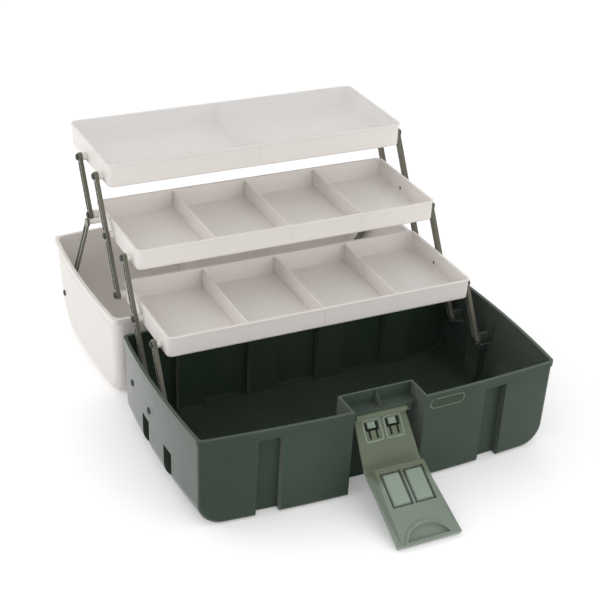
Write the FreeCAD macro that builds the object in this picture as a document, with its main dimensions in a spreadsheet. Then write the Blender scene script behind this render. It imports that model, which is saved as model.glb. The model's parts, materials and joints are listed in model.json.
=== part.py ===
import FreeCAD, Part
import os
import re

# Three-tray cantilever tackle cabinet, in millimetres.
# Origin: middle of the base between the rim corners, on the surface it stands on.
# X runs along the front, Y to the back, Z up. The model stands open:
# lid folded back behind the base, trays stepped out, latch hanging down.

DOC = FreeCAD.newDocument("tackle_cabinet")
SHEET = DOC.addObject("Spreadsheet::Sheet", "Size")

SIZES = {
    # base shell
    "rim_width": 440,  # between the rim corners at the front
    "rim_depth": 234,
    "front_bow": 11.3,  # how far the front bulges past its corners
    "end_bow": 6,
    "base_height": 113,
    "base_front_lean": 1.5,  # how much narrower the foot is than the rim, each side
    "base_end_lean": 2.5,
    "shell_wall": 2.5,
    "bead_out": 1.5,
    "bead_tall": 6,
    "corner_round": 6,
    "end_foot_round": 28,  # the ends curve in towards the foot
    "flute_deep": 10,
    "flute_reach": 30,
    "front_flute_x": 139,
    "front_flute_wide": 29,
    "flute_drop": 12.3,  # long flutes end this far below the rim
    "rear_flute_x": 46,
    "end_flute_y": 34,
    "end_flute_wide": 22,
    "end_flute_tall": 52,
    # latch bay in the middle of the front, open upwards
    "bay_wide": 88,
    "bay_deep": 35.3,
    "ledge_drop": 15.5,  # ledge over the latch, below the rim
    "ledge_thick": 2.5,
    "ledge_over": 2.5,  # ledge in front of the latch's axis
    "gusset_thick": 1.6,
    # back hinge
    "hinge_out": 14.5,  # hinge axis behind the rear rim
    "hinge_up": 1.9,  # hinge axis above the base rim
    "knuckle_round": 4.6,
    "hinge_rod_round": 2,
    "hinge_x": 92,
    "knuckle_long": 24,
    "lid_knuckle_long": 13,
    "hinge_web": 5.5,
    # lid shell
    "lid_deep": 116.1,
    "lid_gap": 0.3,
    "lid_over": 1,  # lid rim stands this far outside the base rim
    "lid_front_lean": 9,
    "lid_rear_lean": 7,
    "lid_end_lean": 7,
    "lid_front_round": 54,
    "lid_rear_round": 30,
    "lid_end_round": 14,
    # carrying handle in its pocket
    "pocket_long": 136,
    "pocket_back": 3,
    "pocket_wide": 44,
    "pocket_deep": 8.6,
    "handle_long": 128,
    "handle_reach": 33,
    "handle_bar": 13,
    "handle_arm": 12,
    "handle_thick": 7,
    "handle_pin_round": 1.8,
    "handle_pin_long": 16,
    # linkage
    "arm_angle": 59.5,  # slope of the open arms
    "shut_step": 4.6,  # shut trays stand this far in front of each other
    "open_clear": 8.8,  # open lower tray above the base rim
    "pivot_in": 35.6,  # rear base pivot in front of the rear rim
    "arm_wide": 8.5,
    "arm_eye": 5.4,
    "arm_thick": 4.6,
    "arm_groove_wide": 4.4,
    "arm_groove_deep": 1.7,
    "arm_from_tray": 4.9,
    "link_from_arm": 3.2,
    "link_thick": 3,
    "link_stud_back": 9,
    "link_stud_drop": 5,
    "lid_pin_z": 49,
    "pin_round": 2.1,
    "pin_head_round": 3.8,
    "pin_head_tall": 1.9,
    "boss_round": 5,
    "stud_boss_round": 3.2,
    "pivot_play": 0.08,
    "face_play": 0.3,
    "seat_sink": 0.6,
    # trays
    "side_room": 23.4,  # tray ends inside the rim
    "tray_room": 87,  # tray depth less than the rim's
    "tray_tall": 26,
    "top_tray_extra": 4,
    "tray_wall": 1.8,
    "tray_lip": 1.3,
    "tray_lip_tall": 2.2,
    "tray_round": 7,
    "tray_foot_round": 3,
    "pivot_drop": 17.1,  # pivots below the tray rim
    "pivot_from_front": 23,
    "pivot_from_rear": 2,
    "stack_gap": 2.5,  # between closed trays
    "divider_thick": 1.6,
    "divider_low": 2.5,
    "slot_play": 0.25,
    "slot_rib": 1.5,
    "slot_rib_out": 1.8,
    "cover_thick": 1.5,
    "cover_skirt": 2,
    # latch
    "latch_axis_out": 14,  # axis in front of the bay's back wall
    "latch_axis_drop": 22.5,  # axis below the rim
    "latch_off": 4,  # plate's inner face in front of the axis
    "latch_plate": 2.5,
    "latch_plate_long": 60,
    "latch_plate_wide": 63,
    "latch_box_wide": 70.4,  # outer face of the box at the plate
    "latch_tip_wide": 77.6,
    "latch_face_wide": 61,  # inner face, towards the lid
    "latch_box_long": 96.7,
    "latch_box_thick": 17.6,
    "latch_tip_thick": 5.2,
    "latch_box_lean": 27,
    "latch_swing": 140.5,
    "latch_barrel_round": 4,
    "latch_pin_round": 1.5,
    "latch_clear": 1.2,
    "latch_hook_play": 0.6,  # shut latch above the lid's ledge
    "ear_thick": 3.5,
    "window_wide": 17,
    "window_tall": 10,
    "window_start": 7,
    "window_x": 13,
    "tooth_wide": 3,
    "tooth_tall": 9,
    "tooth_x": 4.5,
    "latch_pocket_x": 14,
    "latch_pocket_wide": 25.6,
    "latch_pocket_long": 42,
    "latch_pocket_from": 13,
    "latch_pocket_deep": 5,
    "pad_inset": 2.5,
    "pad_drop": 0.8,
    "scoop_half": 26,
    "scoop_tall": 17,
    "scoop_deep": 3.2,
    "grip_lip": 2.6,
    "grip_rim": 3.2,
    "grip_rim_tall": 1.2,
    # one overrun for all cuts
    "overrun": 6,
}

for row, (alias, number) in enumerate(SIZES.items(), 1):
    SHEET.set("B%d" % row, str(number))
    SHEET.setAlias("B%d" % row, alias)
DOC.recompute()

# Places worked out from the sizes. Each is an expression of sizes and other places.
PLACES = {
    "front_round": "((rim_width / 2)^2 + front_bow^2) / (2 * front_bow)",
    "front_y": "-(rim_depth / 2 + front_bow)",
    "end_round": "((rim_depth / 2)^2 + end_bow^2) / (2 * end_bow)",
    "end_x": "rim_width / 2 + end_bow",
    "rear_y": "rim_depth / 2",
    "lid_z": "base_height + lid_gap",
    "lid_top": "lid_z + lid_deep",
    "hinge_y": "rear_y + hinge_out",
    "hinge_z": "base_height + hinge_up",
    "bay_back_y": "front_y + bay_deep",
    "ledge_top": "base_height - ledge_drop",
    "front_flute_tall": "base_height - flute_drop",
    "tray_end": "rim_width / 2 - side_room",
    "tray_depth": "rim_depth - tray_room",
    "pivot_gap": "(tray_depth - pivot_from_front - pivot_from_rear) / 2",
    "shut_back": "pivot_gap + shut_step",  # shut arm's run towards the front
    "stack_pitch": "tray_tall + stack_gap",
    "arm_pitch": "sqrt(shut_back^2 + stack_pitch^2)",
    "base_pivot_y": "rear_y - pivot_in",
    "base_pivot_z": "base_height + open_clear + tray_tall - pivot_drop - step_z",
    "arm_in": "tray_end + arm_from_tray",
    "arm_out": "arm_in + arm_thick",
    "link_in": "arm_out + link_from_arm",
    "link_out": "link_in + link_thick",
    "step_y": "arm_pitch * cos(arm_angle)",
    "step_z": "arm_pitch * sin(arm_angle)",
    "low_y": "base_pivot_y - pivot_gap + step_y",  # front pivot of the lower tray
    "low_z": "base_pivot_z + step_z",
    "mid_y": "low_y + pivot_gap + step_y",
    "mid_z": "low_z + step_z",
    "top_y": "mid_y + pivot_gap + step_y",
    "top_z": "mid_z + step_z",
    "stud_y": "mid_y + 2 * pivot_gap - link_stud_back",
    "stud_z": "mid_z - link_stud_drop",
    "shut_stud_y": "base_pivot_y - 2 * shut_back + 2 * pivot_gap - link_stud_back",
    "shut_stud_z": "base_pivot_z + 2 * stack_pitch - link_stud_drop",
    "mirror_y": "2 * hinge_y - shut_stud_y",
    "mirror_z": "2 * hinge_z - shut_stud_z",
    # the lid pin is as far from the open stud as from the closed stud, so it lies
    # on the line halfway between the stud and the turned-back closed stud
    "lid_pin_y": "(mirror_y^2 + mirror_z^2 - stud_y^2 - stud_z^2"
                 " - 2 * lid_pin_z * (mirror_z - stud_z)) / (2 * (mirror_y - stud_y))",
    "link_pitch": "sqrt((stud_y - lid_pin_y)^2 + (stud_z - lid_pin_z)^2)",
    "link_angle": "atan2(stud_z - lid_pin_z; stud_y - lid_pin_y)",
    "shut_pin_y": "2 * hinge_y - lid_pin_y",
    "shut_pin_z": "2 * hinge_z - lid_pin_z",
    "latch_axis_y": "bay_back_y - latch_axis_out",
    "latch_axis_z": "base_height - latch_axis_drop",
    "latch_outer": "latch_off + latch_plate",
    # inner face of the shut latch: its lean, its length and its foot from the axis
    "face_lean": "latch_box_lean * 1 deg - atan((latch_box_thick - latch_tip_thick) / latch_box_long)",
    "face_long": "sqrt(latch_box_long^2 + (latch_box_thick - latch_tip_thick)^2)",
    "face_y": "latch_box_thick * cos(latch_box_lean) - latch_outer",
    "face_z": "latch_plate_long - latch_box_thick * sin(latch_box_lean)",
    "shelf_z": "latch_axis_z + latch_plate_long - latch_hook_play",
    "lid_bay_y": "latch_axis_y - latch_off + latch_clear",
    "scoop_round": "(scoop_half^2 + scoop_tall^2) / (2 * scoop_tall)",
    "scoop_end": "face_long - grip_lip",
    "fit_round": "pin_round + pivot_play",
    "pocket_y": "pocket_back - pocket_wide",
    "handle_axis_y": "pocket_back - handle_thick / 2 - face_play * 2",
    "handle_axis_z": "lid_top - pocket_deep + handle_thick / 2 + face_play",
    "tray_inner": "tray_end - tray_lip - tray_wall",
    "cell_wide": "tray_inner / 2",
}

WORD = re.compile(r"[a-z][a-z_]*[a-z]")


def formula(text):
    """Write sizes and places out as an expression of the sheet's cells."""
    def swap(match):
        word = match.group(0)
        if word in PLACES:
            return "(" + formula(PLACES[word]) + ")"
        return "Size." + word if word in SIZES else word
    return WORD.sub(swap, str(text))


def amount(text):
    """The number that an expression gives now."""
    result = SHEET.evalExpression(formula(text))
    return float(getattr(result, "Value", result))


def bind(item, **sizes):
    for key, text in sizes.items():
        item.setExpression(key, formula(text))


def place(item, x=0, y=0, z=0):
    for axis, text in zip("xyz", (x, y, z)):
        item.setExpression("Placement.Base." + axis, formula(text))


def turn(item, axis, angle):
    item.Placement = FreeCAD.Placement(FreeCAD.Vector(), FreeCAD.Rotation(axis, 1))
    item.setExpression("Placement.Rotation.Angle", formula(angle))


X_AXIS = FreeCAD.Vector(1, 0, 0)
Y_AXIS = FreeCAD.Vector(0, 1, 0)
Z_AXIS = FreeCAD.Vector(0, 0, 1)


def make(kind, name):
    return DOC.addObject("Part::" + kind, name)


def block(name, x, y, z):
    """A box between pairs of places along X, Y and Z."""
    item = make("Box", name)
    low = [pair[0] for pair in (x, y, z)]
    spans = ["(%s) - (%s)" % (pair[1], pair[0]) for pair in (x, y, z)]
    bind(item, Length=spans[0], Width=spans[1], Height=spans[2])
    place(item, *low)
    return item


def rod(name, radius, x, y, z):
    """A cylinder along X between two places."""
    item = make("Cylinder", name)
    item.Placement = FreeCAD.Placement(FreeCAD.Vector(), FreeCAD.Rotation(Y_AXIS, 90))
    bind(item, Radius=radius, Height="(%s) - (%s)" % (x[1], x[0]))
    place(item, x[0], y, z)
    return item


def fuse(name, *items):
    item = make("MultiFuse", name)
    item.Shapes = list(items)
    item.Refine = True
    return item


def cut(name, body, *tools):
    item = make("Cut", name)
    item.Base = body
    item.Tool = tools[0] if len(tools) == 1 else fuse(name + "_tools", *tools)
    item.Refine = True
    return item


def common(name, *items):
    item = make("MultiCommon", name)
    item.Shapes = list(items)
    return item


def group(name, *items):
    item = make("Compound", name)
    item.Links = list(items)
    return item


def rounded(name, body, radius, wanted):
    """Round the edges that the test picks."""
    DOC.recompute()
    size = amount(radius)
    low, high = corners(body.Shape)
    item = make("Fillet", name)
    item.Base = body
    picks = [number for number, edge in enumerate(body.Shape.Edges, 1)
             if wanted(edge, *corners(edge), low, high)]
    item.Edges = [(number, size, size) for number in picks]
    return item


TOUCH = 0.001


def corners(shape):
    """The lowest and the highest place of a shape's corner points."""
    points = [corner.Point for corner in shape.Vertexes]
    ends = [[pick(point[axis] for point in points) for axis in range(3)] for pick in (min, max)]
    return FreeCAD.Vector(*ends[0]), FreeCAD.Vector(*ends[1])


def upright(edge, start, end, low, high):
    return end.z - start.z > (high.z - low.z) * 0.9


def at_foot(edge, start, end, low, high):
    return end.z < low.z + TOUCH


def at_top(edge, start, end, low, high):
    return start.z > high.z - TOUCH


def end_foot(edge, start, end, low, high):
    return at_foot(edge, start, end, low, high) and start.x * end.x > 0


def below_top(edge, start, end, low, high):
    """Edges of the front and the rear face, apart from those at the top."""
    along_y = end.y - start.y > (high.y - low.y) * 0.5
    return not at_top(edge, start, end, low, high) and not along_y


def bowed(name, low, high, front, end, rear):
    """A block with a bulging front and ends, between two heights.

    front, end and rear each give how far that side stands outside the rim outline
    at the low and at the high end."""
    tall = "(%s) - (%s)" % (high, low)
    sides = []
    for side, sign in (("front", -1), ("left", -1), ("right", 1)):
        cone = make("Cone", name + "_" + side)
        if side == "front":
            big, out = "front_round", front
            place(cone, 0, "front_y + front_round", low)
        else:
            big, out = "end_round", end
            turn(cone, Z_AXIS, "90 - %d * 90" % -sign)
            place(cone, "%d * (end_x - end_round)" % sign, 0, low)
        bind(cone, Radius1=big + " + " + out[0], Radius2=big + " + " + out[1], Height=tall)
        sides.append(cone)
    back = make("Wedge", name + "_rear")
    back.Placement = FreeCAD.Placement(FreeCAD.Vector(), FreeCAD.Rotation(X_AXIS, 90))
    bind(back, Xmin="-rim_width", Xmax="rim_width", X2min="-rim_width", X2max="rim_width",
         Ymin="0", Ymax=tall, Zmin="-(rear_y + %s)" % rear[0], Z2min="-(rear_y + %s)" % rear[1],
         Zmax="rim_width", Z2max="rim_width")
    place(back, 0, 0, low)
    sides.append(back)
    return common(name, *sides)


def pair_of(name, builder):
    """The same solid at the left and the right end, from a function of the side."""
    return group(name, builder(name + "_left_one", -1), builder(name + "_right_one", 1))


def span(side, near, far):
    """A stretch along X, measured outwards from the middle, on one side."""
    if side > 0:
        return (near, far)
    return ("-(%s)" % far, "-(%s)" % near)


NODES = {}


def node(name, item):
    item.Label = name
    NODES[name] = item
    return item


def wall_face(height, y, z):
    """X of the outer face of the base end wall at a place, on the right side."""
    lean = "base_end_lean * (base_height - %s) / base_height" % z
    return "(sqrt((end_round - bead_out - %s)^2 - (%s)^2) - end_round + end_x)" % (lean, y)


def lid_face(y, z):
    """X of the outer face of the closed lid's end wall at a place, on the right side."""
    lean = "lid_end_lean * (%s - lid_z) / lid_deep" % z
    return "(sqrt((end_round + lid_over - bead_out - %s)^2 - (%s)^2) - end_round + end_x)" % (lean, y)


BASE_PIVOTS = {"rear": "base_pivot_y", "front": "base_pivot_y - pivot_gap"}


# base shell
def hull(name, inset, low, foot, edge):
    """The base's outline, set in from the wall."""
    front = ["-bead_out - base_front_lean - (%s)" % inset, "-bead_out - (%s)" % inset]
    ends = ["-bead_out - base_end_lean - (%s)" % inset, "-bead_out - (%s)" % inset]
    item = bowed(name, low, "base_height", front, ends, front)
    item = rounded(name + "_foot", item, foot, end_foot)
    return rounded(name + "_edges", item, edge, below_top)


def flutes(name, more):
    """Upright flutes in the four walls, widened by more on every side."""
    half = "(front_flute_wide / 2 + %s)" % more
    tall = ("-overrun", "front_flute_tall + " + more)
    tools = []
    for number, x in enumerate(("-front_flute_x", "front_flute_x")):
        tools.append(block("%s_front_%d" % (name, number), (x + " - " + half, x + " + " + half),
                           ("front_y - overrun", "front_y + flute_reach"), tall))
    for number, x in enumerate(("-front_flute_x", "-rear_flute_x", "rear_flute_x", "front_flute_x")):
        tools.append(block("%s_rear_%d" % (name, number), (x + " - " + half, x + " + " + half),
                           ("rear_y - flute_reach", "rear_y + overrun"), tall))
    half = "(end_flute_wide / 2 + %s)" % more
    for number, (side, y) in enumerate(((-1, "-end_flute_y"), (-1, "end_flute_y"),
                                        (1, "-end_flute_y"), (1, "end_flute_y"))):
        through = span(side, "end_x - flute_reach", "end_x + overrun")
        tools.append(block("%s_end_%d" % (name, number), through,
                           (y + " - " + half, y + " + " + half), ("-overrun", "end_flute_tall + " + more)))
    return tools


def base_shell():
    wall = hull("base_wall", "0", "0", "end_foot_round", "corner_round")
    core = hull("base_core", "flute_deep", "0", "end_foot_round - flute_deep", "corner_round / 2")
    flush = ("0", "0")
    bead = bowed("base_bead", "base_height - bead_tall", "base_height", flush, flush, flush)
    bead = rounded("base_bead_corners", bead, "corner_round + bead_out", upright)
    outside = cut("base_fluted", wall, *flutes("flute", "0"))
    outside = fuse("base_outside", outside, core, bead)
    half = "bay_wide / 2"
    bay = block("latch_bay", ("-" + half, half), ("front_y - overrun", "bay_back_y"),
                ("-overrun", "base_height + overrun"))
    outside = cut("base_with_bay", outside, bay)

    space = hull("base_space", "shell_wall", "shell_wall", "end_foot_round - shell_wall",
                 "corner_round - shell_wall")
    low_space = hull("base_low_space", "flute_deep + shell_wall", "shell_wall",
                     "end_foot_round - flute_deep - shell_wall", "corner_round / 2")
    back_bay = block("bay_back_wall", ("-%s - shell_wall" % half, "%s + shell_wall" % half),
                     ("front_y - overrun", "bay_back_y + shell_wall"), ("-overrun", "base_height + overrun"))
    space = cut("base_space_ribbed", space, *flutes("rib", "shell_wall"))
    space = fuse("base_space_whole", space, low_space)
    space = cut("base_space_clear", space, back_bay)

    bosses = []
    for end, y in BASE_PIVOTS.items():
        for side in (-1, 1):
            bosses.append(rod("base_boss_%s_%d" % (end, side + 1), "boss_round + shell_wall",
                              span(side, "arm_out + face_play", "end_x"), y, "base_pivot_z"))
    bosses = common("base_bosses", fuse("base_boss_rods", *bosses), outside)
    shell = fuse("base_shell_bossed", cut("base_hollow", outside, space), bosses)

    added = [block("latch_ledge", ("-%s - shell_wall / 2" % half, "%s + shell_wall / 2" % half),
                   ("latch_axis_y - ledge_over", "bay_back_y + shell_wall / 2"),
                   ("ledge_top - ledge_thick", "ledge_top"))]
    gusset = make("Wedge", "ledge_gusset")
    bind(gusset, Xmin="-gusset_thick / 2", Xmax="gusset_thick / 2", X2min="-gusset_thick / 2",
         X2max="gusset_thick / 2", Ymin="0", Ymax="ledge_drop", Zmin="-shell_wall / 2",
         Zmax="latch_axis_out + ledge_over", Z2min="-shell_wall / 2", Z2max="0")
    turn(gusset, X_AXIS, "90")
    place(gusset, 0, "bay_back_y", "ledge_top")
    added.append(gusset)
    cuts = []
    for number, side in enumerate((-1, 1)):
        x = "%d * hinge_x" % side
        ends = (x + " - knuckle_long / 2", x + " + knuckle_long / 2")
        added.append(rod("base_knuckle_%d" % number, "knuckle_round", ends, "hinge_y", "hinge_z"))
        added.append(block("base_hinge_web_%d" % number, ends, ("rear_y - bead_out", "hinge_y"),
                           ("hinge_z - knuckle_round - hinge_web + hinge_up", "base_height - lid_gap")))
        cuts.append(rod("base_knuckle_bore_%d" % number, "hinge_rod_round + pivot_play",
                        (x + " - knuckle_long", x + " + knuckle_long"), "hinge_y", "hinge_z"))
        near = "latch_plate_wide / 2 + face_play * 3"
        ear = span(side, near, near + " + ear_thick")
        added.append(block("latch_ear_plate_%d" % number, ear,
                           ("latch_axis_y - latch_barrel_round", "bay_back_y + shell_wall / 2"),
                           ("latch_axis_z", "ledge_top - ledge_thick / 2")))
        added.append(rod("latch_ear_nose_%d" % number, "latch_barrel_round", ear,
                         "latch_axis_y", "latch_axis_z"))
        cuts.append(rod("latch_ear_bore_%d" % number, "latch_pin_round + pivot_play",
                        span(side, near + " - overrun", near + " + overrun"),
                        "latch_axis_y", "latch_axis_z"))
        for end, y in BASE_PIVOTS.items():
            face = wall_face("base_height", y, "base_pivot_z")
            cuts.append(rod("base_pin_bore_%s_%d" % (end, number), "fit_round",
                            span(side, "arm_in", "end_x"), y, "base_pivot_z"))
            cuts.append(rod("base_pin_seat_%s_%d" % (end, number), "pin_head_round + face_play",
                            span(side, face + " - seat_sink", "end_x + overrun"), y, "base_pivot_z"))
    shell = fuse("base_shell_full", shell, *added)
    return cut("base_shell", shell, *cuts)


# lid shell, drawn closed and then turned back about the hinge
def lid_shell():
    def block_of(name, inset, low, high):
        out = "lid_over - bead_out - %s" % inset
        front = (out, out + " - lid_front_lean")
        end = (out, out + " - lid_end_lean")
        rear = (out, out + " - lid_rear_lean")
        item = bowed(name, low, high, front, end, rear)

        def front_top(edge, start, end, low, high):
            return at_top(edge, start, end, low, high) and end.x > 0 > start.x and end.y < 0

        def rear_top(edge, start, end, low, high):
            return at_top(edge, start, end, low, high) and end.x > 0 > start.x and start.y > 0
        item = rounded(name + "_front_round", item, "lid_front_round - %s" % inset, front_top)
        item = rounded(name + "_rear_round", item, "lid_rear_round - %s" % inset, rear_top)

        def end_edge(edge, start, end, low, high):
            return end.z > low.z + TOUCH and start.x * end.x > 0
        return rounded(name + "_ends", item, "lid_end_round - %s" % inset, end_edge)

    outside = block_of("lid_wall", "0", "lid_z", "lid_top")
    space = block_of("lid_space", "shell_wall", "lid_z", "lid_top - shell_wall")
    over = ("lid_over", "lid_over")
    bead = bowed("lid_bead", "lid_z", "lid_z + bead_tall", over, over, over)
    bead = rounded("lid_bead_corners", bead, "corner_round + bead_out", upright)
    outside = fuse("lid_outside", outside, bead)

    def hollows(name, more):
        pocket = block(name + "_pocket", ("-pocket_long / 2 - %s" % more, "pocket_long / 2 + %s" % more),
                       ("pocket_y - %s" % more, "pocket_back + %s" % more),
                       ("lid_top - pocket_deep - %s" % more, "lid_top + overrun"))
        half = "(bay_wide / 2 + %s)" % more
        channel = block(name + "_channel", ("-" + half, half),
                        ("front_y - overrun", "lid_bay_y + " + more), ("lid_z - overrun", "shelf_z"))
        seat = make("Box", name + "_latch_seat")
        bind(seat, Length="2 * " + half, Width="2 * lid_front_round", Height="2 * latch_box_long")
        turn(seat, X_AXIS, "-face_lean")
        back = "(latch_clear + %s - 2 * lid_front_round)" % more
        down = "(latch_box_long / 2)"
        place(seat, "-" + half,
              "latch_axis_y + face_y + %s * cos(face_lean) - %s * sin(face_lean)" % (back, down),
              "latch_axis_z + face_z - %s * sin(face_lean) - %s * cos(face_lean)" % (back, down))
        above = block(name + "_above_ledge", ("-" + half, half), ("front_y - overrun", "0"),
                      ("shelf_z - " + more, "lid_top + overrun"))
        return pocket, channel, common(name + "_latch_room", seat, above)

    outside = cut("lid_dented", outside, *hollows("lid_outer", "0"))
    space = cut("lid_space_dented", space, *hollows("lid_inner", "shell_wall"))
    bosses = []
    for side in (-1, 1):
        bosses.append(rod("lid_boss_%d" % (side + 1), "boss_round + shell_wall",
                          span(side, "link_out + face_play", "end_x"), "shut_pin_y", "shut_pin_z"))
    bosses = common("lid_bosses", fuse("lid_boss_rods", *bosses), outside)
    shell = fuse("lid_bossed", cut("lid_hollow", outside, space), bosses)
    added = []
    cuts = []
    for number, side in enumerate((-1, 1)):
        x = "%d * hinge_x" % side
        for flank in (-1, 1):
            near = "knuckle_long / 2 + face_play"
            ends = [x + " + " + text for text in span(flank, near, near + " + lid_knuckle_long")]
            tag = "%d_%d" % (number, flank + 1)
            added.append(rod("lid_knuckle_" + tag, "knuckle_round", ends, "hinge_y", "hinge_z"))
            added.append(block("lid_hinge_web_" + tag, ends, ("rear_y + lid_over - bead_out", "hinge_y"),
                               ("lid_z + lid_gap", "hinge_z + knuckle_round")))
        cuts.append(rod("lid_knuckle_bore_%d" % number, "hinge_rod_round + pivot_play",
                        (x + " - knuckle_long * 2", x + " + knuckle_long * 2"), "hinge_y", "hinge_z"))
        face = lid_face("shut_pin_y", "shut_pin_z")
        cuts.append(rod("lid_pin_bore_%d" % number, "fit_round", span(side, "link_in", "end_x"),
                        "shut_pin_y", "shut_pin_z"))
        cuts.append(rod("lid_pin_seat_%d" % number, "pin_head_round + face_play",
                        span(side, face + " - seat_sink", "end_x + overrun"), "shut_pin_y", "shut_pin_z"))
    cuts.append(rod("handle_pin_bore", "handle_pin_round + pivot_play",
                    ("-pocket_long / 2 - handle_pin_long", "pocket_long / 2 + handle_pin_long"),
                    "handle_axis_y", "handle_axis_z"))
    shell = fuse("lid_full", shell, *added)
    return lay_back(cut("lid_shell", shell, *cuts))


def lay_back(item):
    """Turn a piece that is drawn on the closed lid to where the open lid holds it."""
    turn(item, X_AXIS, "180")
    place(item, 0, "2 * hinge_y", "2 * hinge_z")
    return item


def hinge_rods():
    def one(name, side):
        x = "%d * hinge_x" % side
        reach = "(knuckle_long / 2 + lid_knuckle_long + face_play)"
        return rod(name, "hinge_rod_round", (x + " - " + reach, x + " + " + reach), "hinge_y", "hinge_z")
    return pair_of("hinge_rods", one)


def headed_pin(name, side, start, seat, y, z, inner_head=""):
    """A pivot pin along X with its head outside, and a second head where it needs one."""
    solids = [rod(name + "_shank", "pin_round", span(side, start, seat + " + pin_head_tall / 2"), y, z),
              rod(name + "_head", "pin_head_round", span(side, seat, seat + " + pin_head_tall"), y, z)]
    if inner_head:
        solids.append(rod(name + "_inner", "pin_head_round",
                          span(side, start, start + " + " + inner_head), y, z))
    return fuse(name, *solids)


def base_arm_pins():
    pins = []
    for side in (-1, 1):
        for end, y in BASE_PIVOTS.items():
            seat = wall_face("base_height", y, "base_pivot_z") + " - seat_sink + pivot_play"
            pins.append(headed_pin("base_pin_%s_%d" % (end, side + 1), side,
                                   "arm_in - face_play - pin_head_tall", seat, y, "base_pivot_z",
                                   "pin_head_tall"))
    return group("base_arm_pins", *pins)


def lid_link_pins():
    def one(name, side):
        seat = lid_face("shut_pin_y", "shut_pin_z") + " - seat_sink + pivot_play"
        start = "link_in - link_from_arm / 2"
        return headed_pin(name, side, start, seat, "shut_pin_y", "shut_pin_z",
                          "(link_from_arm / 2 - face_play)")
    return lay_back(pair_of("lid_link_pins", one))


# latch, drawn shut about its own axis, then swung open
def tapered(name, start_wide, end_wide, near, far, end_far, low, high, angle):
    """A plate that widens along its length, with its thickness towards the front."""
    item = make("Wedge", name)
    bind(item, Xmin="-(%s) / 2" % start_wide, Xmax="(%s) / 2" % start_wide, X2min="-(%s) / 2" % end_wide,
         X2max="(%s) / 2" % end_wide, Ymin=low, Ymax=high, Zmin=far, Z2min=end_far, Zmax=near, Z2max=near)
    turn(item, X_AXIS, angle)
    return item


def on_face(item, x, along, out):
    """Place an item on the latch's inner face: along it from its foot, and out of it."""
    place(item, x, "face_y + (%s) * sin(face_lean) + (%s) * cos(face_lean)" % (along, out),
          "face_z + (%s) * cos(face_lean) - (%s) * sin(face_lean)" % (along, out))


def face_box(name, x, along, out):
    """A box on the latch's inner face, between pairs of places."""
    item = make("Box", name)
    bind(item, Length="(%s) - (%s)" % (x[1], x[0]), Width="(%s) - (%s)" % (out[1], out[0]),
         Height="(%s) - (%s)" % (along[1], along[0]))
    turn(item, X_AXIS, "-face_lean")
    on_face(item, x[0], along[0], out[0])
    return item


def face_disc(name, radius, out):
    """A disc on the latch's inner face, centred beyond the scoop."""
    item = make("Cylinder", name)
    bind(item, Radius=radius, Height="(%s) - (%s)" % (out[1], out[0]))
    turn(item, X_AXIS, "-90 deg - face_lean")
    on_face(item, "0", "scoop_end - scoop_tall + scoop_round", out[0])
    return item


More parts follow.
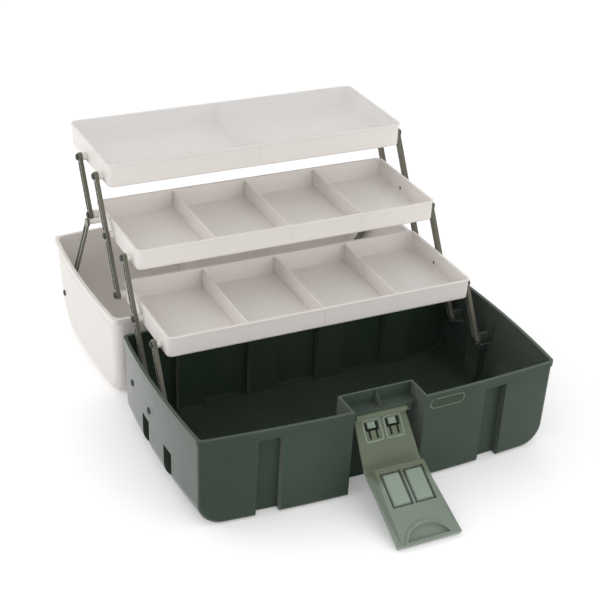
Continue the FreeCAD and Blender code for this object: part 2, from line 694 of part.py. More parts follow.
def latch():
    half = "latch_plate_wide / 2"
    plate = tapered("latch_plate_part", "latch_plate_wide", "latch_box_wide", "latch_outer", "latch_off",
                    "latch_off", "-latch_plate", "latch_plate_long + latch_plate", "90")
    root = block("latch_root", ("-" + half, half), ("-latch_outer", "0"), ("-latch_plate", "latch_plate"))
    barrel = rod("latch_barrel", "latch_barrel_round", ("-" + half, half), "0", "0")
    slab = tapered("latch_box_slab", "latch_tip_wide", "latch_tip_wide", "0", "-latch_box_thick",
                   "-latch_tip_thick", "0", "latch_box_long", "90 - latch_box_lean")
    flare = make("Wedge", "latch_box_flare")
    bind(flare, Xmin="-latch_box_wide / 2", Xmax="latch_box_wide / 2", X2min="-latch_face_wide / 2",
         X2max="latch_face_wide / 2", Ymin="0", Ymax="latch_box_thick", Zmin="0", Zmax="latch_box_long",
         Z2min="0", Z2max="latch_box_long")
    turn(flare, X_AXIS, "-latch_box_lean")
    flange = tapered("latch_flange", "latch_box_wide", "latch_tip_wide", "0", "-latch_tip_thick",
                     "-latch_tip_thick", "0", "latch_box_long", "90 - latch_box_lean")
    for item in (slab, flare, flange):
        place(item, 0, "-latch_outer", "latch_plate_long")
    under = block("latch_hook_cut", ("-latch_tip_wide", "latch_tip_wide"), ("-latch_off", "latch_box_long"),
                  ("-latch_plate_long", "latch_plate_long"))
    box = cut("latch_box", fuse("latch_box_whole", common("latch_box_part", slab, flare), flange), under)
    rim = common("grip_rim_part",
                 face_disc("grip_rim_disc", "scoop_round + grip_rim", ("-grip_rim_tall", "grip_rim_tall")),
                 face_box("grip_rim_bound", ("-scoop_round - grip_rim", "scoop_round + grip_rim"),
                          ("scoop_end - scoop_tall - 2 * grip_rim", "face_long - grip_lip / 4"),
                          ("-overrun", "overrun")))
    body = fuse("latch_body", plate, root, barrel, box, rim)

    cuts = [rod("latch_bore", "latch_pin_round + pivot_play", ("-latch_plate_wide", "latch_plate_wide"),
                "0", "0")]
    for number, side in enumerate((-1, 1)):
        x = "%d * window_x" % side
        through = ("-latch_outer - overrun", "-latch_off + latch_plate")
        cuts.append(block("latch_window_%d" % number, (x + " - window_wide / 2", x + " + window_wide / 2"),
                          through, ("window_start", "window_start + window_tall")))
        for flank in (-1, 1):
            middle = "%s + %d * tooth_x" % (x, flank)
            cuts.append(block("latch_tooth_%d_%d" % (number, flank + 1),
                              (middle + " - tooth_wide / 2", middle + " + tooth_wide / 2"), through,
                              ("window_start + window_tall / 2", "window_start + window_tall + tooth_tall")))
        x = "%d * latch_pocket_x" % side
        low, high = x + " - latch_pocket_wide / 2", x + " + latch_pocket_wide / 2"
        pocket = face_box("latch_pocket_%d" % number, (low, high),
                          ("latch_pocket_from", "latch_pocket_from + latch_pocket_long"),
                          ("-latch_pocket_deep", "overrun"))
        pad = face_box("latch_pad_%d" % number, (low + " + pad_inset", high + " - pad_inset"),
                       ("latch_pocket_from + pad_inset",
                        "latch_pocket_from + latch_pocket_long - pad_inset"),
                       ("-latch_pocket_deep - overrun", "-pad_drop"))
        cuts.append(cut("latch_ring_%d" % number, pocket, pad))
    cuts.append(common("grip_scoop", face_disc("grip_scoop_disc", "scoop_round", ("-scoop_deep", "overrun")),
                       face_box("grip_scoop_bound", ("-scoop_round", "scoop_round"),
                                ("scoop_end - scoop_tall - grip_rim", "scoop_end"),
                                ("-overrun", "2 * overrun"))))
    item = cut("latch", body, *cuts)
    turn(item, X_AXIS, "latch_swing")
    place(item, 0, "latch_axis_y", "latch_axis_z")
    return item


def latch_hinge_pin():
    reach = "(latch_plate_wide / 2 + face_play * 3 + ear_thick)"
    return rod("latch_hinge_pin", "latch_pin_round", ("-" + reach, reach), "latch_axis_y", "latch_axis_z")


# handle, drawn in the closed lid's pocket
def handle():
    half = "handle_long / 2"
    low = "lid_top - pocket_deep + face_play"
    high = low + " + handle_thick"
    tip = "handle_axis_y - handle_reach"
    arms = [block("handle_arm_%d" % (side + 1), span(side, half + " - handle_arm", half),
                  (tip, "handle_axis_y"), (low, high)) for side in (-1, 1)]
    eyes = [rod("handle_eye_%d" % (side + 1), "handle_thick / 2", span(side, half + " - handle_arm", half),
                "handle_axis_y", "handle_axis_z") for side in (-1, 1)]
    bar = block("handle_grip", ("-" + half, half), (tip, tip + " + handle_bar"), (low, high))
    whole = fuse("handle_whole", bar, *arms, *eyes)

    def along_x(edge, start, end, low, high):
        return end.x - start.x > (high.x - low.x) * 0.5
    whole = rounded("handle_soft", whole, "handle_thick / 4", along_x)
    bore = rod("handle_bore", "handle_pin_round + pivot_play", ("-handle_long", "handle_long"),
               "handle_axis_y", "handle_axis_z")
    return lay_back(cut("handle", whole, bore))


def handle_pins():
    def one(name, side):
        middle = "pocket_long / 2 + handle_pin_long / 4"
        return rod(name, "handle_pin_round",
                   span(side, middle + " - handle_pin_long", middle), "handle_axis_y", "handle_axis_z")
    return lay_back(pair_of("handle_pins", one))


# trays
def tray(name, front_y, pivot_z, extra, pivots, cells, stud=False):
    """An open tray. front_y and pivot_z place its front pivot at rest."""
    rim = "%s + pivot_drop + %s" % (pivot_z, extra)
    foot = "%s + pivot_drop - tray_tall" % pivot_z
    near = "%s - pivot_from_front" % front_y
    far = near + " + tray_depth"
    out = "(tray_end - tray_lip)"

    def box_of(tag, inset, low, high, radius, foot_radius):
        item = block("%s_%s" % (name, tag), ("-%s + %s" % (out, inset), "%s - %s" % (out, inset)),
                     ("%s + tray_lip + %s" % (near, inset), "%s - tray_lip - %s" % (far, inset)),
                     (low, high))
        item = rounded(item.Name + "_corners", item, radius, upright)
        if foot_radius:
            item = rounded(item.Name + "_foot", item, foot_radius, at_foot)
        return item

    outside = box_of("outside", "0", foot, rim, "tray_round", "tray_foot_round")
    space = box_of("space", "tray_wall", foot + " + tray_wall", rim + " + overrun",
                   "tray_round - tray_wall", "tray_foot_round - tray_wall")
    lip = box_of("lip", "-tray_lip", rim + " - tray_lip_tall", rim, "tray_round + tray_lip", "")
    added = [lip]
    for number, gap in enumerate(pivots):
        for side in (-1, 1):
            added.append(rod("%s_boss_%d_%d" % (name, number, side + 1), "boss_round",
                             span(side, "tray_inner + tray_wall / 2", "arm_in - face_play"),
                             "%s + %s * pivot_gap" % (front_y, gap), pivot_z))
    if stud:
        for side in (-1, 1):
            added.append(rod("%s_stud_boss_%d" % (name, side + 1), "stud_boss_round",
                             span(side, "tray_inner + tray_wall / 2", "link_in - face_play"),
                             "stud_y", "stud_z"))
    whole = cut(name + "_hollow", fuse(name + "_lipped", outside, *added), space)
    ribs = []
    for x in cells:
        for flank in (-1, 1):
            inner = "%s + %d * (divider_thick / 2 + slot_play)" % (x, flank)
            outer = inner + " + %d * slot_rib" % flank
            ends = (inner, outer) if flank > 0 else (outer, inner)
            for wall in (0, 1):
                face = near + " + tray_lip + tray_wall" if wall == 0 else far + " - tray_lip - tray_wall"
                stretch = (face + " - tray_wall / 2", face + " + slot_rib_out")
                if wall:
                    stretch = (face + " - slot_rib_out", face + " + tray_wall / 2")
                ribs.append(block("%s_rib_%d" % (name, len(ribs)), ends, stretch,
                                  (foot + " + tray_wall / 2", rim + " - divider_low")))
    whole = fuse(name + "_ribbed", whole, *ribs)
    bores = []
    for number, gap in enumerate(pivots):
        for side in (-1, 1):
            bores.append(rod("%s_bore_%d_%d" % (name, number, side + 1), "fit_round",
                             span(side, "tray_inner - pivot_play", "arm_out"),
                             "%s + %s * pivot_gap" % (front_y, gap), pivot_z))
    return cut(name, whole, *bores)


def tray_pins(name, front_y, pivot_z, pivots):
    pins = []
    for number, gap in enumerate(pivots):
        for side in (-1, 1):
            pins.append(headed_pin("%s_%d_%d" % (name, number, side + 1), side, "tray_inner + pivot_play",
                                   "arm_out + pivot_play * 2",
                                   "%s + %s * pivot_gap" % (front_y, gap), pivot_z))
    return group(name, *pins)


def divider(name, x, front_y, pivot_z, extra):
    near = "%s - pivot_from_front + tray_lip + tray_wall + slot_play" % front_y
    far = "%s - pivot_from_front + tray_depth - tray_lip - tray_wall - slot_play" % front_y
    foot = "%s + pivot_drop - tray_tall + tray_wall" % pivot_z
    low = foot + " + slot_play"
    high = "%s + pivot_drop + %s - divider_low" % (pivot_z, extra)
    item = block(name + "_plate", (x + " - divider_thick / 2", x + " + divider_thick / 2"),
                 (near, far), (low, high))

    def foot_corner(edge, start, end, low, high):
        return end.z < low.z + TOUCH and end.y - start.y < TOUCH
    return rounded(name, item, "tray_foot_round", foot_corner)


TRAYS = (
    ("lower_tray", "low_y", "low_z", "0", (0, 1, 2), ("-cell_wide", "0", "cell_wide"), False),
    ("middle_tray", "mid_y", "mid_z", "0", (0, 1, 2), ("-cell_wide", "0", "cell_wide"), True),
    ("upper_tray", "top_y", "top_z", "top_tray_extra", (0, 1), ("0",), False),
)


def tray_cover():
    """A clear sheet lid that drops on the top tray's rim."""
    rim = "top_z + pivot_drop + top_tray_extra"
    near = "top_y - pivot_from_front"
    half = "tray_end"
    plate = block("cover_plate", ("-" + half, half), (near, near + " + tray_depth"),
                  (rim + " + pivot_play", rim + " + pivot_play + cover_thick"))
    plate = rounded("cover_plate_corners", plate, "tray_round + tray_lip", upright)
    gap = "tray_lip + tray_wall + face_play"
    round_off = "tray_round - tray_wall - face_play"
    skirt = []
    for tag, inset, radius, heights in (
            ("outer", gap, round_off, (rim + " - cover_skirt", rim + " + cover_thick / 2")),
            ("inner", gap + " + cover_thick", round_off + " - cover_thick",
             (rim + " - cover_skirt - overrun", rim + " + pivot_play"))):
        ring = block("cover_skirt_" + tag, ("-%s + %s" % (half, inset), "%s - (%s)" % (half, inset)),
                     ("%s + %s" % (near, inset), "%s + tray_depth - (%s)" % (near, inset)), heights)
        skirt.append(rounded(ring.Name + "_corners", ring, radius, upright))
    ring = cut("cover_skirt", skirt[0], skirt[1])
    return fuse("tray_cover", plate, ring)


# arms and links, each drawn level from its lower pivot and then tilted
def bar_arm(name, side, eyes, pitch, near, far, y, z, angle, low_fit=True):
    """A bar with an eye every pitch; the number of eyes includes both ends."""
    x = span(side, near, far)
    last = "%s * %d" % (pitch, eyes - 1)
    solids = [block(name + "_bar", x, ("0", last), ("-arm_wide / 2", "arm_wide / 2"))]
    cuts = []
    for number in range(eyes):
        at = "%s * %d" % (pitch, number)
        solids.append(rod("%s_eye_%d" % (name, number), "arm_eye", x, at, "0"))
        if low_fit or number < eyes - 1:
            cuts.append(rod("%s_bore_%d" % (name, number), "fit_round",
                            span(side, near + " - overrun", far + " + overrun"), at, "0"))
        if number < eyes - 1:
            free = "arm_eye - arm_groove_deep"
            cuts.append(block("%s_groove_%d" % (name, number),
                              span(side, far + " - arm_groove_deep", far + " + overrun"),
                              ("%s + arm_eye + arm_groove_deep" % at, "%s + %s - %s" % (at, pitch, free)),
                              ("-arm_groove_wide / 2", "arm_groove_wide / 2")))
    item = cut(name, fuse(name + "_solid", *solids), *cuts)
    turn(item, X_AXIS, angle)
    place(item, 0, y, z)
    return item


ARMS = (
    ("front_lower_arm", 2, "base_pivot_y - pivot_gap", "base_pivot_z"),
    ("long_lower_arm", 3, "base_pivot_y", "base_pivot_z"),
    ("long_upper_arm", 3, "low_y + 2 * pivot_gap", "low_z"),
    ("rear_upper_arm", 2, "mid_y + 2 * pivot_gap", "mid_z"),
)


node("base_shell", base_shell())
node("base_arm_pins", base_arm_pins())
node("hinge_rods", hinge_rods())
node("latch_hinge_pin", latch_hinge_pin())
node("latch", latch())
node("lid_shell", lid_shell())
node("lid_link_pins", lid_link_pins())
node("handle", handle())
node("handle_pins", handle_pins())
for name, front_y, pivot_z, extra, pivots, cells, stud in TRAYS:
    node(name, tray(name, front_y, pivot_z, extra, pivots, cells, stud))
    node(name + "_pins", tray_pins(name + "_pins", front_y, pivot_z, pivots))
    for number, x in enumerate(cells, 1):
        label = "%s_divider_%d" % (name, number)
        node(label, divider(label, x, front_y, pivot_z, extra))
node("tray_cover", tray_cover())
for side, word in ((-1, "left"), (1, "right")):
    for name, eyes, y, z in ARMS:
        label = "%s_%s" % (name, word)
        node(label, bar_arm(label, side, eyes, "arm_pitch", "arm_in", "arm_out", y, z, "arm_angle"))
    label = "lid_link_" + word
    node(label, bar_arm(label, side, 2, "link_pitch", "link_in", "link_out", "lid_pin_y", "lid_pin_z",
                        "link_angle", low_fit=False))

DOC.recompute()
for item in DOC.Objects:
    if "Invalid" in item.State or "Error" in item.State:
        raise RuntimeError("%s is %s" % (item.Name, item.State))
for name, item in NODES.items():
    if item.Shape.isNull() or not item.Shape.isValid() or not item.Shape.Solids:
        raise RuntimeError(name + " has no valid solid")

os.makedirs("parts", exist_ok=True)
for name, item in NODES.items():
    item.Shape.exportStep("parts/%s.step" % name)
    print(name, len(item.Shape.Solids), round(item.Shape.Volume))
for place_name in ("lid_pin_y", "link_pitch", "link_angle", "low_y", "low_z", "mid_y", "mid_z",
                   "top_y", "top_z"):
    print(place_name, round(amount(place_name), 4))
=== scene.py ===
"""Looks of the tackle cabinet: finishes for its moulded parts, small moulded details and a studio."""
import json
import math

import bmesh
import bpy
from bpy.props import FloatProperty, FloatVectorProperty, PointerProperty
from mathutils import Matrix, Vector
from mathutils.bvhtree import BVHTree


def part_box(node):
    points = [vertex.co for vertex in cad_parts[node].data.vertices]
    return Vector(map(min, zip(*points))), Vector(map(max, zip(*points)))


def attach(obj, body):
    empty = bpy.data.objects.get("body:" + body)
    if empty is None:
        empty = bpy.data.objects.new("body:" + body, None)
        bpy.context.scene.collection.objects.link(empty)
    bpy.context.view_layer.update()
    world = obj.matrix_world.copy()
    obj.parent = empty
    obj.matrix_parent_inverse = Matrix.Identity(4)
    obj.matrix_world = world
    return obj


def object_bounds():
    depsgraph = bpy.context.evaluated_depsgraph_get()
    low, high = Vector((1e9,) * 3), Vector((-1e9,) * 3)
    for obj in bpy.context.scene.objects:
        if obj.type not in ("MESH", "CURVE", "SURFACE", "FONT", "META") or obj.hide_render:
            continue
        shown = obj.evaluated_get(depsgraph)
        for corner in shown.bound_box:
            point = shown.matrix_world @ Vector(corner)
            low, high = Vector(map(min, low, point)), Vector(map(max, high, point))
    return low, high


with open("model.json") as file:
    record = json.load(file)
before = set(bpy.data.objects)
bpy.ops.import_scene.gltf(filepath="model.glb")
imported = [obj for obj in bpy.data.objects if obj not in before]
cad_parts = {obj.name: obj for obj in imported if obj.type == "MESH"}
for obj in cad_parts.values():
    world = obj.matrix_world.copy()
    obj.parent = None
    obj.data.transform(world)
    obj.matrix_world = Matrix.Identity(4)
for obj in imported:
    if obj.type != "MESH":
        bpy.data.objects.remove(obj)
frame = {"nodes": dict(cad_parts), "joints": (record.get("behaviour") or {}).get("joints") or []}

bl_info = {
    "name": "Tackle Cabinet Looks",
    "version": (1, 0, 0),
    "blender": (4, 5, 0),
    "location": "View3D > Sidebar > Tackle Cabinet",
    "description": "Finishes and moulded details for a cantilever tackle cabinet",
    "category": "Object",
}

CAD_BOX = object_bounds()
MM = 0.001
WHITE = (1, 1, 1, 1)
SENSOR_WIDE = 36


# Settings

class FinishSettings(bpy.types.PropertyGroup):
    """Colours and textures of the materials."""
    green: FloatVectorProperty(
        name="Green", description="Moulded green of the base and the handle",
        subtype="COLOR", size=3, min=0, max=1, default=(0.023, 0.041, 0.026))
    green_pale: FloatVectorProperty(
        name="Pale Green", description="Scuffed and dusty green where the plastic is rubbed",
        subtype="COLOR", size=3, min=0, max=1, default=(0.08, 0.1, 0.075))
    bloom: FloatProperty(
        name="Bloom", description="Pale bloom of the grained green at a flat angle",
        min=0, max=1, default=1.0)
    plate: FloatVectorProperty(
        name="Latch Plate", description="Rubbed green of the latch's plate",
        subtype="COLOR", size=3, min=0, max=1, default=(0.12, 0.145, 0.095))
    # Painted light: the box section's green is lifted well above the plate's to stand in for the light
    # falling on its left-facing flanks and lower faces.
    box: FloatVectorProperty(
        name="Latch Box", description="Green of the latch's box section",
        subtype="COLOR", size=3, min=0, max=1, default=(0.21, 0.25, 0.205))
    pad: FloatVectorProperty(
        name="Latch Pads", description="Rubbed green of the latch's pads",
        subtype="COLOR", size=3, min=0, max=1, default=(0.27, 0.33, 0.275))
    arm: FloatVectorProperty(
        name="Arms", description="Grey green of the arms and links",
        subtype="COLOR", size=3, min=0, max=1, default=(0.13, 0.124, 0.095))
    plate_from: FloatProperty(
        name="Plate From", description="Height of the hanging latch's bend, where its plate starts",
        unit="LENGTH", default=0.04)
    milky: FloatVectorProperty(
        name="Milky", description="Body colour of the lid, the trays and the dividers",
        subtype="COLOR", size=3, min=0, max=1, default=(0.85, 0.81, 0.775))
    milky_deep: FloatVectorProperty(
        name="Milky Deep", description="Slightly deeper tone of the milky plastic, in clouds",
        subtype="COLOR", size=3, min=0, max=1, default=(0.81, 0.77, 0.735))
    milky_cover: FloatProperty(
        name="Milky Cover", description="Share of light that the milky plastic stops",
        min=0, max=1, default=0.84)
    clear: FloatVectorProperty(
        name="Clear", description="Tint of the loose cover sheet",
        subtype="COLOR", size=3, min=0, max=1, default=(0.95, 0.93, 0.92))
    clear_marks: FloatVectorProperty(
        name="Clear Marks", description="Colour of the rub marks on the cover sheet",
        subtype="COLOR", size=3, min=0, max=1, default=(0.95, 0.96, 0.96))
    clear_cover: FloatProperty(
        name="Clear Cover", description="Share of light that the cover sheet stops",
        min=0, max=1, default=0.32)
    pin: FloatVectorProperty(
        name="Pins", description="Dark plastic of the pivot pins",
        subtype="COLOR", size=3, min=0, max=1, default=(0.014, 0.026, 0.022))
    steel: FloatVectorProperty(
        name="Steel", description="Steel of the rods",
        subtype="COLOR", size=3, min=0, max=1, default=(0.52, 0.53, 0.54))


class DetailSettings(bpy.types.PropertyGroup):
    """Sizes of the small moulded details."""
    frame_wide: FloatProperty(
        name="Frame Width", description="Width of the blank frame beside the latch bay",
        unit="LENGTH", default=0.044)
    frame_tall: FloatProperty(
        name="Frame Height", description="Height of the blank frame", unit="LENGTH", default=0.013)
    frame_x: FloatProperty(
        name="Frame Place", description="Middle of the blank frame, right of the cabinet's middle",
        unit="LENGTH", default=0.073)
    frame_z: FloatProperty(
        name="Frame Level", description="Middle of the blank frame above the floor",
        unit="LENGTH", default=0.1005)
    line_wide: FloatProperty(
        name="Line Width", description="Width of a fine moulded line", unit="LENGTH", default=0.0011)
    line_tall: FloatProperty(
        name="Line Height", description="Height of a fine moulded line", unit="LENGTH", default=0.0004)
    cap_round: FloatProperty(
        name="Cap Radius", description="Radius of the caps on the pivot pins", unit="LENGTH", default=0.0033)
    cap_tall: FloatProperty(
        name="Cap Height", description="Height of the caps on the pivot pins", unit="LENGTH", default=0.0006)
    web_pitch: FloatProperty(
        name="Web Pitch", description="Distance between the webs in an arm's groove",
        unit="LENGTH", default=0.0085)
    band_z: FloatProperty(
        name="Lid Band", description="Level of the line round the open lid", unit="LENGTH", default=0.102)


class StageSettings(bpy.types.PropertyGroup):
    """The studio round the cabinet."""
    azimuth: FloatProperty(
        name="Azimuth", description="Camera's turn round the cabinet from the front",
        subtype="ANGLE", default=math.radians(-26.92))
    elevation: FloatProperty(
        name="Elevation", description="Camera's height above the horizon",
        subtype="ANGLE", default=math.radians(28.97))
    roll: FloatProperty(
        name="Roll", description="Camera's tilt about its own view",
        subtype="ANGLE", default=math.radians(2.92))
    place: FloatVectorProperty(
        name="Place", description="Where the camera stands",
        subtype="TRANSLATION", size=3, unit="LENGTH", default=(-0.67858, -1.23331, 0.9525))
    lens: FloatProperty(
        name="Lens", description="Focal length in millimetres on a 36 mm sensor",
        min=10, max=300, default=85.44)
    floor_size: FloatProperty(
        name="Floor", description="Side of the floor", unit="LENGTH", default=12)
    floor_colour: FloatVectorProperty(
        name="Floor Colour", description="Colour of the floor",
        subtype="COLOR", size=3, min=0, max=1, default=(0.93, 0.93, 0.93))
    floor_white: FloatProperty(
        name="Floor White", description="How much whiter the floor looks than its light makes it",
        min=0, max=1, default=0.2)
    world_light: FloatProperty(
        name="World Light", description="Strength of the even studio light", min=0, max=4, default=0.88)
    key_place: FloatVectorProperty(
        name="Key Place", description="Where the lamp at the left stands",
        subtype="TRANSLATION", size=3, unit="LENGTH", default=(-1.9, 0.9, 0.9))
    key_size: FloatProperty(
        name="Key Size", description="Width of the lamp at the left", unit="LENGTH", default=1.6)
    key_power: FloatProperty(
        name="Key Light", description="Power of the lamp at the left", min=0, max=500, default=11)
    front_place: FloatVectorProperty(
        name="Front Place", description="Where the lamp in front stands",
        subtype="TRANSLATION", size=3, unit="LENGTH", default=(0.8, -2.3, 0.7))
    front_size: FloatProperty(
        name="Front Size", description="Width of the lamp in front", unit="LENGTH", default=2.2)
    front_power: FloatProperty(
        name="Front Light", description="Power of the lamp in front", min=0, max=500, default=17)


# Material nodes

def new_material(name):
    material = bpy.data.materials.new(name)
    material.use_nodes = True
    nodes, links = material.node_tree.nodes, material.node_tree.links
    return material, nodes, links, nodes["Principled BSDF"]


def noise(nodes, links, scale, detail=4.0, roughness=0.55):
    """A noise pattern fixed to the object, so that it moves with the piece."""
    place = nodes.new("ShaderNodeTexCoord")
    texture = nodes.new("ShaderNodeTexNoise")
    texture.inputs["Scale"].default_value = scale
    texture.inputs["Detail"].default_value = detail
    texture.inputs["Roughness"].default_value = roughness
    links.new(place.outputs["Object"], texture.inputs["Vector"])
    return texture.outputs["Fac"]


def ramp(nodes, links, source, low, high, start=0.0, end=1.0):
    """Maps a pattern from low..high onto start..end."""
    item = nodes.new("ShaderNodeMapRange")
    item.inputs["From Min"].default_value = low
    item.inputs["From Max"].default_value = high
    item.inputs["To Min"].default_value = start
    item.inputs["To Max"].default_value = end
    links.new(source, item.inputs["Value"])
    return item.outputs["Result"]


def blend_colours(nodes, links, share, first, second):
    """Mixes two colours, the first of which may come from another node."""
    mix = nodes.new("ShaderNodeMix")
    mix.data_type = "RGBA"
    if isinstance(first, bpy.types.NodeSocket):
        links.new(first, mix.inputs["A"])
    else:
        mix.inputs["A"].default_value = (*first, 1)
    mix.inputs["B"].default_value = (*second, 1)
    links.new(share, mix.inputs["Factor"])
    return mix.outputs["Result"]


def add_bump(nodes, links, shader, height, strength, distance):
    bump = nodes.new("ShaderNodeBump")
    bump.inputs["Strength"].default_value = strength
    bump.inputs["Distance"].default_value = distance
    links.new(height, bump.inputs["Height"])
    links.new(bump.outputs["Normal"], shader.inputs["Normal"])


def seen_rays(nodes, links):
    """One where the camera looks, also through a clear sheet or in a gloss, and zero for the light itself."""
    path = nodes.new("ShaderNodeLightPath")
    total = path.outputs["Is Camera Ray"]
    for name in ("Is Glossy Ray", "Is Transmission Ray"):
        either = nodes.new("ShaderNodeMath")
        either.operation = "MAXIMUM"
        links.new(total, either.inputs[0])
        links.new(path.outputs[name], either.inputs[1])
        total = either.outputs[0]
    return total


def green_plastic(settings, name="moulded_green", colour=None, rubbed=0.22, upper_colour=None):
    """Moulded green plastic with a fine grain, rubbed paler in places.

    With an upper colour, the piece changes to it above the latch's bend.
    """
    material, nodes, links, shader = new_material(name)
    cloud = noise(nodes, links, scale=14, detail=5, roughness=0.6)
    scuff = noise(nodes, links, scale=90, detail=8, roughness=0.7)
    share = ramp(nodes, links, cloud, low=0.35, high=0.75, end=rubbed)
    base = blend_colours(nodes, links, share, colour or settings.green, settings.green_pale)
    if upper_colour:
        place = nodes.new("ShaderNodeTexCoord")
        split = nodes.new("ShaderNodeSeparateXYZ")
        links.new(place.outputs["Object"], split.inputs["Vector"])
        height = ramp(nodes, links, split.outputs["Z"],
                      low=settings.plate_from, high=settings.plate_from + 6 * MM)
        base = blend_colours(nodes, links, height, base, upper_colour)
    links.new(base, shader.inputs["Base Color"])
    rough = ramp(nodes, links, scuff, low=0.3, high=0.7, start=0.36, end=0.5)
    links.new(rough, shader.inputs["Roughness"])
    shader.inputs["Specular IOR Level"].default_value = 0.15
    shader.inputs["Sheen Weight"].default_value = settings.bloom
    shader.inputs["Sheen Roughness"].default_value = 0.36
    grain = noise(nodes, links, scale=1500, detail=3, roughness=0.6)
    add_bump(nodes, links, shader, grain, strength=0.18, distance=0.4 * MM)
    return material


def milky_moulding(settings):
    """Translucent milky plastic, a little cloudy."""
    material, nodes, links, shader = new_material("milky_moulding")
    cloud = noise(nodes, links, scale=9, detail=4, roughness=0.5)
    share = ramp(nodes, links, cloud, low=0.35, high=0.7, end=0.5)
    base = blend_colours(nodes, links, share, settings.milky, settings.milky_deep)
    links.new(base, shader.inputs["Base Color"])
    mist = noise(nodes, links, scale=260, detail=6, roughness=0.6)
    rough = ramp(nodes, links, mist, low=0.3, high=0.7, start=0.3, end=0.42)
    links.new(rough, shader.inputs["Roughness"])
    shader.inputs["Alpha"].default_value = settings.milky_cover
    shader.inputs["IOR"].default_value = 1.49
    grain = noise(nodes, links, scale=700, detail=3, roughness=0.5)
    add_bump(nodes, links, shader, grain, strength=0.1, distance=0.4 * MM)
    return material


def cover_sheet(settings):
    """Thin clear sheet with faint rub marks."""
    material, nodes, links, shader = new_material("cover_sheet")
    marks = noise(nodes, links, scale=40, detail=8, roughness=0.75)
    share = ramp(nodes, links, marks, low=0.4, high=0.7)
    base = blend_colours(nodes, links, share, settings.clear, settings.clear_marks)
    links.new(base, shader.inputs["Base Color"])
    rough = ramp(nodes, links, marks, low=0.35, high=0.65, start=0.12, end=0.26)
    links.new(rough, shader.inputs["Roughness"])
    shader.inputs["Alpha"].default_value = settings.clear_cover
    ripple = noise(nodes, links, scale=16, detail=2, roughness=0.4)
    add_bump(nodes, links, shader, ripple, strength=0.05, distance=2 * MM)
    return material


def dark_plastic(settings):
    """Dark plastic of the pivot pins, finely speckled."""
    material, nodes, links, shader = new_material("dark_plastic")
    speck = noise(nodes, links, scale=400, detail=4, roughness=0.6)
    share = ramp(nodes, links, speck, low=0.4, high=0.8, end=0.4)
    base = blend_colours(nodes, links, share, settings.pin, settings.green_pale)
    links.new(base, shader.inputs["Base Color"])
    rough = ramp(nodes, links, speck, low=0.3, high=0.7, start=0.34, end=0.5)
    links.new(rough, shader.inputs["Roughness"])
    add_bump(nodes, links, shader, speck, strength=0.1, distance=0.3 * MM)
    return material


# Along a steel rod, and twice across it
STREAK_SCALE = (30, 1800, 1800)


def drawn_steel(settings):
    """Drawn steel: fine streaks along the rod."""
    material, nodes, links, shader = new_material("drawn_steel")
    place = nodes.new("ShaderNodeTexCoord")
    stretch = nodes.new("ShaderNodeMapping")
    stretch.inputs["Scale"].default_value = STREAK_SCALE
    texture = nodes.new("ShaderNodeTexNoise")
    texture.inputs["Scale"].default_value = 1
    links.new(place.outputs["Object"], stretch.inputs["Vector"])
    links.new(stretch.outputs["Vector"], texture.inputs["Vector"])
    streak = texture.outputs["Fac"]
    darker = tuple(0.8 * value for value in settings.steel)
    base = blend_colours(nodes, links, streak, settings.steel, darker)
    links.new(base, shader.inputs["Base Color"])
    rough = ramp(nodes, links, streak, low=0.3, high=0.7, start=0.22, end=0.4)
    links.new(rough, shader.inputs["Roughness"])
    shader.inputs["Metallic"].default_value = 1.0
    return material


# How much of a handled green piece is rubbed
HANDLED = 0.3


def latch_green(settings):
    """The latch's box section and, above it as the latch hangs, its plate."""
    # Below the bend the box section takes the paler box green, which is painted light on its flanks.
    return green_plastic(settings, "latch_green", settings.box, HANDLED, settings.plate)


def grip_green(settings):
    """The latch's pads and frames."""
    return green_plastic(settings, "grip_green", settings.pad, HANDLED)


def arm_green(settings):
    """The arms and the lid's links."""
    return green_plastic(settings, "arm_green", settings.arm, HANDLED)


MAKERS = {
    "moulded_green": green_plastic,
    "latch_green": latch_green,
    "grip_green": grip_green,
    "arm_green": arm_green,
    "milky_moulding": milky_moulding,
    "cover_sheet": cover_sheet,
    "dark_plastic": dark_plastic,
    "drawn_steel": drawn_steel,
}


def finish_of(name):
    """The named material, made once."""
    material = bpy.data.materials.get(name)
    return material or MAKERS[name](bpy.context.scene.cabinet_finish)


def dress(node, name):
    """Gives a CAD node its finish."""
    piece = frame["nodes"][node]
    material = finish_of(name)
    for slot in piece.material_slots:
        slot.material = material
    if not piece.material_slots:
        piece.data.materials.append(material)


def dress_all(names, finish):
    for name in names:
        dress(name, finish)


# Mesh helpers

def surface(*names):
    """A search tree over the faces of CAD nodes."""
    points, faces = [], []
    for name in names:
        mesh = frame["nodes"][name].data
        start = len(points)
        points.extend(vertex.co.copy() for vertex in mesh.vertices)
        faces.extend([start + index for index in face.vertices] for face in mesh.polygons)
    return BVHTree.FromPolygons(points, faces)


def landing(tree, start, way):
    """Where a line from start first meets the surface, and the face's outward direction there."""
    way = Vector(way)
    place, normal, _, _ = tree.ray_cast(Vector(start), way)
    if place is None:
        raise RuntimeError("no surface carries this detail")
    return place, -normal if normal.dot(way) > 0 else normal


# Edges that turn by more than this look sharp
SHARP_ANGLE = math.radians(35)


def finish_piece(name, form, body, finish):
    """Turns a built form into a dressed piece that moves with its body."""
    bmesh.ops.recalc_face_normals(form, faces=form.faces)
    mesh = bpy.data.meshes.new(name)
    form.to_mesh(mesh)
    form.free()
    for face in mesh.polygons:
        face.use_smooth = True
    mesh.set_sharp_from_angle(angle=SHARP_ANGLE)
    mesh.materials.append(finish_of(finish))
    piece = bpy.data.objects.new(name, mesh)
    bpy.context.collection.objects.link(piece)
    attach(piece, body)
    return piece


